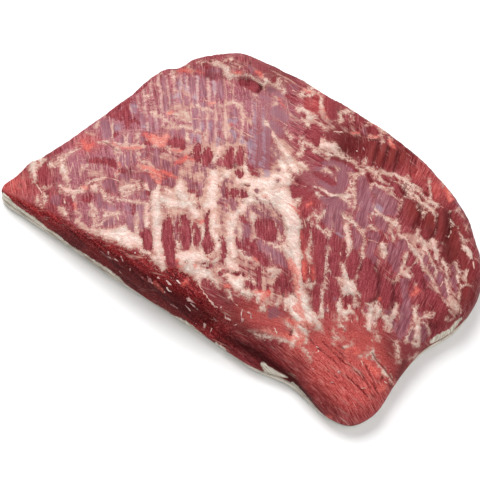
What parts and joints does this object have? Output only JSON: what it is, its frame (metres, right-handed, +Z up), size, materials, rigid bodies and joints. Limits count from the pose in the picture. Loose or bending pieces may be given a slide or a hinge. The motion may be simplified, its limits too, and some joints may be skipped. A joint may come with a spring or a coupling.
{
  "type": "raw beef brisket",
  "caption": "Whole raw beef brisket, a long flat slab of lean meat with seams of fat, lying on its fat cap with the lean side up.",
  "frame": {"origin": "middle of the footprint, on the surface that the fat cap rests on", "axes": "+X along the slab towards its thick end, +Y away from the long cut face, +Z up out of the lean side"},
  "size_m": [0.4858, 0.3332, 0.0687],
  "materials": {
    "lean_meat": "moist raw muscle with silverskin, fat seams and a low sheen",
    "fat": "firm cream fat, slightly moist"
  },
  "bodies": {
    "root": {"lean": "lean_meat", "fat_cap": "fat"}
  },
  "joints": []
}
